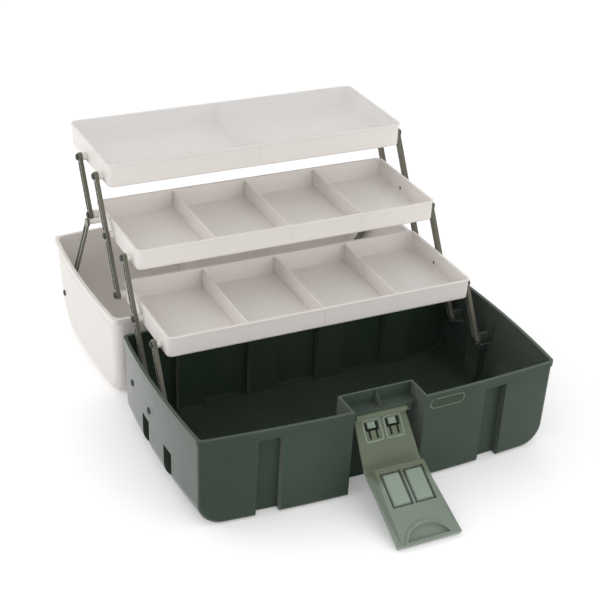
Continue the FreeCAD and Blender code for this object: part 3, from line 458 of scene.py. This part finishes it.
def join_rings(form, rings, closed=False):
    """Faces between rings of points, with a face over each end unless the rings close on themselves."""
    for number in range(len(rings) - (not closed)):
        ring, following = rings[number], rings[(number + 1) % len(rings)]
        for index in range(len(ring)):
            form.faces.new((ring[index - 1], ring[index], following[index], following[index - 1]))
    if not closed:
        form.faces.new(rings[0])
        form.faces.new(rings[-1])


# Shares of a ridge's width and height, from side to side
RIDGE_SECTION = ((-0.5, -0.4), (-0.47, 0.45), (-0.32, 0.88), (0, 1), (0.32, 0.88), (0.47, 0.45), (0.5, -0.4))


def add_ridge(form, spots, wide, tall, closed=True):
    """A raised line with rounded shoulders along spots, which are places with their outward directions."""
    rings = []
    for number, (place, normal) in enumerate(spots):
        before = spots[number - 1][0] if closed or number else place
        after = spots[(number + 1) % len(spots)][0] if closed or number < len(spots) - 1 else place
        side = normal.cross((after - before).normalized()).normalized()
        rings.append([form.verts.new(place + side * wide * across + normal * tall * out)
                      for across, out in RIDGE_SECTION])
    join_rings(form, rings, closed)


def round_loop(wide, tall, radius, steps=6):
    """A rounded rectangle about the middle, as pairs."""
    points = []
    for corner, (across, up) in enumerate(((1, 1), (-1, 1), (-1, -1), (1, -1))):
        for step in range(steps + 1):
            turn = math.radians(90 * (corner + step / steps))
            points.append((across * (wide / 2 - radius) + radius * math.cos(turn),
                           up * (tall / 2 - radius) + radius * math.sin(turn)))
    return points


# Shares of a cap's radius and height, from its foot to its dimple
CAP_SECTION = ((1, -0.3), (1, 0.3), (0.88, 0.8), (0.66, 1), (0.4, 0.92), (0.3, 0.5), (0.12, 0.42))
CAP_SIDES = 28


def add_cap(form, place, normal, radius, tall):
    """A low domed cap with a dimple in its middle."""
    across = normal.orthogonal().normalized()
    other = normal.cross(across)
    rings = []
    for out, up in CAP_SECTION:
        ring = []
        for index in range(CAP_SIDES):
            turn = 2 * math.pi * index / CAP_SIDES
            outward = across * math.cos(turn) + other * math.sin(turn)
            ring.append(form.verts.new(place + outward * radius * out + normal * tall * up))
        rings.append(ring)
    join_rings(form, rings)


def add_block(form, middle, axes, size, edge):
    """A block with softened edges, along three directions."""
    matrix = Matrix(axes).transposed().to_4x4()
    matrix.translation = middle
    made = bmesh.ops.create_cube(form, size=1, matrix=matrix @ Matrix.Diagonal((*size, 1)))
    edges = {item for vertex in made["verts"] for item in vertex.link_edges}
    bmesh.ops.bevel(form, geom=list(edges), offset=edge, segments=2, affect="EDGES", profile=0.6)


# Where a plate's rounded edge has its middle ring
EDGE_MIDDLE = 0.3


def add_plate(form, wide, tall, radius, place_of, low, high, edge):
    """A thin plate with a rounded outline between two levels, the edge of its upper one softened."""
    rings = []
    near = edge * EDGE_MIDDLE
    for level, inset in ((low, 0), (high - edge, 0), (high - near, near), (high, edge)):
        loop = round_loop(wide - 2 * inset, tall - 2 * inset, radius - inset)
        rings.append([form.verts.new(place_of(across, up, level)) for across, up in loop])
    join_rings(form, rings)


JOINTS = {joint["name"]: joint for joint in frame["joints"]}


def joint_place(name):
    """Where a joint's axis stands."""
    return Vector(JOINTS[name]["pos_m"])


PIVOT_GAP = joint_place("lower_tray_level").y - joint_place("front_lower_arm_swing").y
ARM_STEP = joint_place("lower_tray_level") - joint_place("long_lower_arm_swing")
BASE_PIVOTS = [(joint_place("long_lower_arm_swing").y - gap, joint_place("long_lower_arm_swing").z)
               for gap in (0, PIVOT_GAP)]
# For each tray, its first pivot counted from the one of its level joint, and how many it has
TRAY_PIVOTS = {"lower_tray": (-1, 3), "middle_tray": (-1, 3), "upper_tray": (0, 2)}
# A search line's start outside the cabinet, and its step off the middle of a round face
FAR_X = 0.4
OFF_MIDDLE = 0.4 * MM


def add_pin_caps(name, body, pins, spots):
    """Caps on the outer heads of a body's pivot pins."""
    details = bpy.context.scene.cabinet_detail
    tree = surface(pins)
    form = bmesh.new()
    for y, z in spots:
        for side in (-1, 1):
            place, normal = landing(tree, (side * FAR_X, y, z + OFF_MIDDLE), (-side, 0, 0))
            add_cap(form, place - Vector((0, 0, OFF_MIDDLE)), normal, details.cap_round, details.cap_tall)
    finish_piece(name, form, body, "dark_plastic")


# Places on the shut latch, from its axis, in millimetres
LATCH_SWING = math.radians(JOINTS["latch_swing"]["range_deg"][1])
PLATE_BACK = -4
WINDOW_X = 13
WINDOW_Z = 16.8
WINDOW_SIZE = (21, 24, 2)
TONGUE_SIZE = (9.5 * MM, 1.4 * MM, 7.4 * MM)
TONGUE_PLACE = (-5.4, 10.4)
HINGE_BAR_SIZE = (9.5 * MM, 1.6 * MM, 1.5 * MM)
HINGE_BAR_PLACE = (-4.6, 13.4)
TONGUE_EDGE = 0.3 * MM
PAD_X = 14
PAD_ALONG = 34
PAD_SIZE = (18.6 * MM, 35 * MM, 2.4 * MM)
PAD_FOOT, PAD_TOP, PAD_EDGE = -1 * MM, -0.1 * MM, 0.4 * MM
# The box section's face, where it starts and how it leans
FACE_LEAN = math.radians(19.69)
FACE_Y = 9.18
FACE_Z = 52.01


def on_latch(x, y, z):
    """A place on the hanging latch, given in millimetres as it stands when shut, from its axis."""
    return joint_place("latch_swing") + Matrix.Rotation(LATCH_SWING, 3, "X") @ Vector((x, y, z)) * MM


def latch_way(y, z):
    """A direction on the hanging latch, given as it is when shut."""
    return (Matrix.Rotation(LATCH_SWING, 3, "X") @ Vector((0, y, z))).normalized()


def line_size(details, shares):
    """A line's width and height, from its shares of the fine line's."""
    return details.line_wide * shares[0], details.line_tall * shares[1]


# Shares of the fine line's width and height
FRAME_LINE = (1.4, 1.8)
GUARD_LINE = (1.3, 3)
BAND_LINE = (1.4, 1.4)
DIVIDER_LINE = (1, 0.6)
WINDOW_LINE = (1.3, 1.6)
# Where search lines start in front of the cabinet, and how far in front of a tray
FRONT_Y = -0.3
TRAY_GAP = 0.05
# The blank frame's corners, and what is left straight between two of them
FRAME_STEPS = 10
FRAME_FLAT = 0.2 * MM
# The guards round the base's pivots, a half circle that goes on upwards at both sides
GUARD_X = 0.17
GUARD_ROUND = 9.5 * MM
GUARD_STEPS = 18
GUARD_RISE = 3 * MM
GUARD_RISES = 8
# Ends of the hinge rods
ROD_CAP_ROUND = 2.9 * MM
ROD_CAP_TALL = 0.9 * MM
ROD_OFF_MIDDLE = 0.3 * MM
ROD_END_GAP = 0.01
# The line round the lid, which leaves out the latch's channel
BAND_START = math.radians(104)
BAND_SWEEP = math.radians(332)
BAND_STEPS = 180
BAND_REACH = 0.6
# Lines on the trays' fronts, from the foot and from the rim
LINE_FOOT = 4.5 * MM
LINE_TOP = 2.6 * MM
# Webs in the arms' grooves, from pivot to pivot
WEB_SIZE = (1.5 * MM, 1.1 * MM, 4.6 * MM)
WEB_SINK = 1.05 * MM
WEB_EDGE = 0.2 * MM
WEB_START = 10.5 * MM
WEB_END = 7 * MM


# Operators

class CABINET_OT_base(bpy.types.Operator):
    """Finish the base shell, its arm pins and its hinge"""
    bl_idname = "cabinet.base"
    bl_label = "Base"

    def execute(self, context):
        dress("base_shell", "moulded_green")
        dress("base_arm_pins", "dark_plastic")
        dress_all(("hinge_rods", "latch_hinge_pin"), "drawn_steel")
        details = context.scene.cabinet_detail
        self.make_frame(details)
        self.make_guards(details)
        self.make_rod_caps(details)
        add_pin_caps("base_pin_caps", "base", "base_arm_pins", BASE_PIVOTS)
        return {"FINISHED"}

    def make_frame(self, details):
        """The blank raised frame on the front, right of the latch bay."""
        tree = surface("base_shell")
        corner = details.frame_tall / 2 - FRAME_FLAT
        outline = round_loop(details.frame_wide, details.frame_tall, corner, FRAME_STEPS)
        spots = [landing(tree, (details.frame_x + across, FRONT_Y, details.frame_z + up), (0, 1, 0))
                 for across, up in outline]
        form = bmesh.new()
        add_ridge(form, spots, *line_size(details, FRAME_LINE))
        finish_piece("bay_side_frame", form, "base", "latch_green")

    def make_guards(self, details):
        """Raised guards on the inner ends, round the arms' pivots."""
        tree = surface("base_shell")
        form = bmesh.new()
        for side in (-1, 1):
            for y, z in BASE_PIVOTS:
                spots = []
                for step in range(GUARD_STEPS + 1):
                    turn = math.pi * (1 + step / GUARD_STEPS)
                    spots.append((y + GUARD_ROUND * math.cos(turn), z + GUARD_ROUND * math.sin(turn)))
                for rise in range(1, GUARD_RISES + 1):
                    spots.insert(0, (y - GUARD_ROUND, z + rise * GUARD_RISE))
                    spots.append((y + GUARD_ROUND, z + rise * GUARD_RISE))
                landed = [landing(tree, (side * GUARD_X, *spot), (side, 0, 0)) for spot in spots]
                add_ridge(form, landed, *line_size(details, GUARD_LINE), closed=False)
        finish_piece("pivot_guards", form, "base", "moulded_green")

    def make_rod_caps(self, details):
        """Flattened ends of the two hinge rods, each met from outside and from between them."""
        form = bmesh.new()
        low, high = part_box("hinge_rods")
        off_middle = Vector((0, ROD_OFF_MIDDLE, ROD_OFF_MIDDLE))
        middle = joint_place("lid_hinge") + off_middle
        tree = surface("hinge_rods")
        for x, way in ((low.x - ROD_END_GAP, 1), (high.x + ROD_END_GAP, -1), (0, 1), (0, -1)):
            place, normal = landing(tree, (x, middle.y, middle.z), (way, 0, 0))
            add_cap(form, place - off_middle, normal, ROD_CAP_ROUND, ROD_CAP_TALL)
        finish_piece("hinge_rod_caps", form, "base", "drawn_steel")


class CABINET_OT_lid(bpy.types.Operator):
    """Finish the lid with its link pins"""
    bl_idname = "cabinet.lid"
    bl_label = "Lid"

    def execute(self, context):
        dress("lid_shell", "milky_moulding")
        dress("lid_link_pins", "dark_plastic")
        details = context.scene.cabinet_detail
        low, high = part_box("lid_link_pins")
        add_pin_caps("lid_pin_caps", "lid", "lid_link_pins", [((low.y + high.y) / 2, (low.z + high.z) / 2)])
        self.make_band(details)
        return {"FINISHED"}

    def make_band(self, details):
        """A fine line round the lid, broken at the latch's channel."""
        low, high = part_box("lid_shell")
        middle = Vector(((low.x + high.x) / 2, (low.y + high.y) / 2, details.band_z))
        tree = surface("lid_shell")
        spots = []
        for step in range(BAND_STEPS + 1):
            turn = BAND_START + BAND_SWEEP * step / BAND_STEPS
            way = Vector((math.cos(turn), math.sin(turn), 0))
            spots.append(landing(tree, middle + BAND_REACH * way, -way))
        form = bmesh.new()
        add_ridge(form, spots, *line_size(details, BAND_LINE), closed=False)
        finish_piece("lid_band", form, "lid", "milky_moulding")


class CABINET_OT_handle(bpy.types.Operator):
    """Finish the carrying handle and its pins"""
    bl_idname = "cabinet.handle"
    bl_label = "Handle"

    def execute(self, context):
        dress("handle", "moulded_green")
        dress("handle_pins", "drawn_steel")
        return {"FINISHED"}


class CABINET_OT_trays(bpy.types.Operator):
    """Finish the trays, their dividers and their pins"""
    bl_idname = "cabinet.trays"
    bl_label = "Trays"

    def execute(self, context):
        for name in frame["nodes"]:
            if name.endswith("tray") or "divider" in name:
                dress(name, "milky_moulding")
            if name.endswith("tray_pins"):
                dress(name, "dark_plastic")
        for tray, (first, count) in TRAY_PIVOTS.items():
            pivot = joint_place(tray + "_level")
            add_pin_caps(tray + "_pin_caps", tray, tray + "_pins",
                         [(pivot.y + number * PIVOT_GAP, pivot.z) for number in range(first, first + count)])
            self.make_lines(context.scene.cabinet_detail, tray)
        return {"FINISHED"}

    def make_lines(self, details, tray):
        """Pale lines on a tray's front where its dividers meet it."""
        tree = surface(tray)
        low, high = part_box(tray)
        form = bmesh.new()
        for name in frame["nodes"]:
            if name.startswith(tray + "_divider"):
                edge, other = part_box(name)
                x = (edge.x + other.x) / 2
                spots = [landing(tree, (x, low.y - TRAY_GAP, z), (0, 1, 0))
                         for z in (low.z + LINE_FOOT, (low.z + high.z) / 2, high.z - LINE_TOP)]
                add_ridge(form, spots, *line_size(details, DIVIDER_LINE), closed=False)
        finish_piece(tray + "_front_lines", form, tray, "milky_moulding")


class CABINET_OT_cover(bpy.types.Operator):
    """Finish the loose clear cover"""
    bl_idname = "cabinet.cover"
    bl_label = "Cover"

    def execute(self, context):
        dress("tray_cover", "cover_sheet")
        return {"FINISHED"}


class CABINET_OT_arms(bpy.types.Operator):
    """Finish the arms and the lid's links"""
    bl_idname = "cabinet.arms"
    bl_label = "Arms"

    def execute(self, context):
        for name in frame["nodes"]:
            if ("_arm_" in name or name.startswith("lid_link_")) and not name.endswith("pins"):
                dress(name, "arm_green")
        pivot = joint_place("front_lower_arm_swing") - ARM_STEP
        self.make_webs(context, "front_lower_arms", pivot, 1)
        for body, count in (("long_lower_arms", 2), ("long_upper_arms", 2), ("rear_upper_arms", 1)):
            self.make_webs(context, body, joint_place(body[:-1] + "_swing"), count)
        return {"FINISHED"}

    def make_webs(self, context, body, pivot, count):
        """Cross webs in the grooves of a pair of arms."""
        pitch = context.scene.cabinet_detail.web_pitch
        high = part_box(body[:-1] + "_right")[1]
        along = ARM_STEP.normalized()
        axes = (Vector((1, 0, 0)), along, along.cross(Vector((1, 0, 0))))
        form = bmesh.new()
        for side in (-1, 1):
            for stretch in range(count):
                reach = WEB_START
                while reach < ARM_STEP.length - WEB_END:
                    middle = pivot + ARM_STEP * stretch + along * reach
                    middle.x = side * (high.x - WEB_SINK)
                    add_block(form, middle, axes, WEB_SIZE, WEB_EDGE)
                    reach += pitch
        finish_piece(body + "_webs", form, body, "arm_green")


class CABINET_OT_latch(bpy.types.Operator):
    """Finish the drop latch"""
    bl_idname = "cabinet.latch"
    bl_label = "Latch"

    def execute(self, context):
        dress("latch", "latch_green")
        self.make_window_frames(context.scene.cabinet_detail)
        self.make_tongues()
        self.make_pads()
        return {"FINISHED"}

    def make_window_frames(self, details):
        """Raised frames round the windows of the latch's plate."""
        form = bmesh.new()
        for x in (-WINDOW_X, WINDOW_X):
            spots = [(on_latch(x + across, PLATE_BACK, up + WINDOW_Z), latch_way(1, 0))
                     for across, up in round_loop(*WINDOW_SIZE)]
            add_ridge(form, spots, *line_size(details, WINDOW_LINE))
        finish_piece("latch_window_frames", form, "latch", "grip_green")

    def make_tongues(self):
        """Catch tongues in the windows, each with a bar across its root."""
        form = bmesh.new()
        axes = (Vector((1, 0, 0)), latch_way(1, 0), latch_way(0, 1))
        for x in (-WINDOW_X, WINDOW_X):
            add_block(form, on_latch(x, *TONGUE_PLACE), axes, TONGUE_SIZE, TONGUE_EDGE)
            add_block(form, on_latch(x, *HINGE_BAR_PLACE), axes, HINGE_BAR_SIZE, TONGUE_EDGE)
        finish_piece("latch_catch_tongues", form, "latch", "grip_green")

    def make_pads(self):
        """Grained pads on the latch's box section."""
        form = bmesh.new()
        rise, slant = math.cos(FACE_LEAN), math.sin(FACE_LEAN)
        for x in (-PAD_X, PAD_X):
            def on_face(across, up, out):
                along = PAD_ALONG + up / MM
                return on_latch(x + across / MM, FACE_Y + along * slant + out / MM * rise,
                                FACE_Z + along * rise - out / MM * slant)
            add_plate(form, *PAD_SIZE, on_face, PAD_FOOT, PAD_TOP, PAD_EDGE)
        finish_piece("latch_grip_pads", form, "latch", "grip_green")


class CABINET_OT_stage(bpy.types.Operator):
    """Set up the floor, the lights and the camera"""
    bl_idname = "cabinet.stage"
    bl_label = "Stage"
    floor_rough = 0.9
    floor_mottle = 0.99

    def execute(self, context):
        settings = context.scene.cabinet_stage
        context.scene.view_settings.view_transform = "Standard"
        self.make_floor(settings)
        self.make_world(context, settings)
        self.make_lamp("key_light", settings.key_place, settings.key_size, settings.key_power)
        self.make_lamp("front_light", settings.front_place, settings.front_size, settings.front_power)
        self.make_camera(context, settings)
        return {"FINISHED"}

    def make_floor(self, settings):
        """The pale floor, a little whiter to the eye than its light makes it."""
        mesh = bpy.data.meshes.new("floor")
        form = bmesh.new()
        bmesh.ops.create_grid(form, x_segments=1, y_segments=1, size=settings.floor_size / 2)
        form.to_mesh(mesh)
        form.free()
        floor = bpy.data.objects.new("floor", mesh)
        bpy.context.collection.objects.link(floor)
        material, nodes, links, shader = new_material("floor_paint")
        shader.inputs["Roughness"].default_value = self.floor_rough
        tint = noise(nodes, links, scale=2, detail=2)
        pale = tuple(self.floor_mottle * value for value in settings.floor_colour)
        links.new(blend_colours(nodes, links, tint, settings.floor_colour, pale), shader.inputs["Base Color"])
        shader.inputs["Emission Color"].default_value = WHITE
        glow = nodes.new("ShaderNodeMath")
        glow.operation = "MULTIPLY"
        glow.inputs[1].default_value = settings.floor_white
        links.new(seen_rays(nodes, links), glow.inputs[0])
        links.new(glow.outputs[0], shader.inputs["Emission Strength"])
        mesh.materials.append(material)

    def make_world(self, context, settings):
        """The even light, with a white background where the camera looks."""
        world = bpy.data.worlds.new("studio")
        world.use_nodes = True
        nodes, links = world.node_tree.nodes, world.node_tree.links
        light = nodes["Background"]
        light.inputs["Color"].default_value = WHITE
        light.inputs["Strength"].default_value = settings.world_light
        seen = nodes.new("ShaderNodeBackground")
        seen.inputs["Color"].default_value = WHITE
        seen.inputs["Strength"].default_value = 1.0
        mix = nodes.new("ShaderNodeMixShader")
        links.new(seen_rays(nodes, links), mix.inputs[0])
        links.new(light.outputs[0], mix.inputs[1])
        links.new(seen.outputs[0], mix.inputs[2])
        links.new(mix.outputs[0], nodes["World Output"].inputs["Surface"])
        context.scene.world = world

    def make_lamp(self, name, place, size, power):
        """A round lamp that points at the middle of the cabinet."""
        lamp = bpy.data.lights.new(name, "AREA")
        lamp.shape = "DISK"
        lamp.size = size
        lamp.energy = power
        piece = bpy.data.objects.new(name, lamp)
        piece.location = place
        aim = (CAD_BOX[0] + CAD_BOX[1]) / 2 - Vector(place)
        piece.rotation_euler = aim.to_track_quat("-Z", "Y").to_euler()
        bpy.context.collection.objects.link(piece)

    def make_camera(self, context, settings):
        """The camera, from its turn, height and tilt."""
        lens = bpy.data.cameras.new("camera")
        lens.lens = settings.lens
        lens.sensor_width = SENSOR_WIDE
        camera = bpy.data.objects.new("camera", lens)
        turn, rise, tilt = settings.azimuth, settings.elevation, settings.roll
        back = Vector((math.sin(turn) * math.cos(rise), -math.cos(turn) * math.cos(rise), math.sin(rise)))
        right = (-back).cross(Vector((0, 0, 1))).normalized()
        up = right.cross(-back)
        right, up = (right * math.cos(tilt) + up * math.sin(tilt),
                     up * math.cos(tilt) - right * math.sin(tilt))
        turned = Matrix((right, up, back)).transposed().to_4x4()
        camera.matrix_world = Matrix.Translation(settings.place) @ turned
        context.collection.objects.link(camera)
        context.scene.camera = camera


class CABINET_PT_panel(bpy.types.Panel):
    """Buttons and settings of the cabinet's looks"""
    bl_idname = "CABINET_PT_panel"
    bl_label = "Tackle Cabinet"
    bl_space_type = "VIEW_3D"
    bl_region_type = "UI"
    bl_category = "Tackle Cabinet"

    def draw(self, context):
        layout = self.layout
        for step in STEPS:
            layout.operator(step.bl_idname)
        scene = context.scene
        for group in (scene.cabinet_finish, scene.cabinet_detail, scene.cabinet_stage):
            box = layout.box()
            for name in group.__annotations__:
                box.prop(group, name)


STEPS = (CABINET_OT_stage, CABINET_OT_base, CABINET_OT_lid, CABINET_OT_handle, CABINET_OT_trays,
         CABINET_OT_cover, CABINET_OT_arms, CABINET_OT_latch)
CLASSES = (FinishSettings, DetailSettings, StageSettings, *STEPS, CABINET_PT_panel)


def register():
    for item in CLASSES:
        bpy.utils.register_class(item)
    bpy.types.Scene.cabinet_finish = PointerProperty(type=FinishSettings)
    bpy.types.Scene.cabinet_detail = PointerProperty(type=DetailSettings)
    bpy.types.Scene.cabinet_stage = PointerProperty(type=StageSettings)


def unregister():
    del bpy.types.Scene.cabinet_stage
    del bpy.types.Scene.cabinet_detail
    del bpy.types.Scene.cabinet_finish
    for item in reversed(CLASSES):
        bpy.utils.unregister_class(item)


def main():
    register()
    for step in STEPS:
        group, name = step.bl_idname.split(".")
        getattr(getattr(bpy.ops, group), name)()
    bpy.context.view_layer.update()


if __name__ == "__main__":
    main()
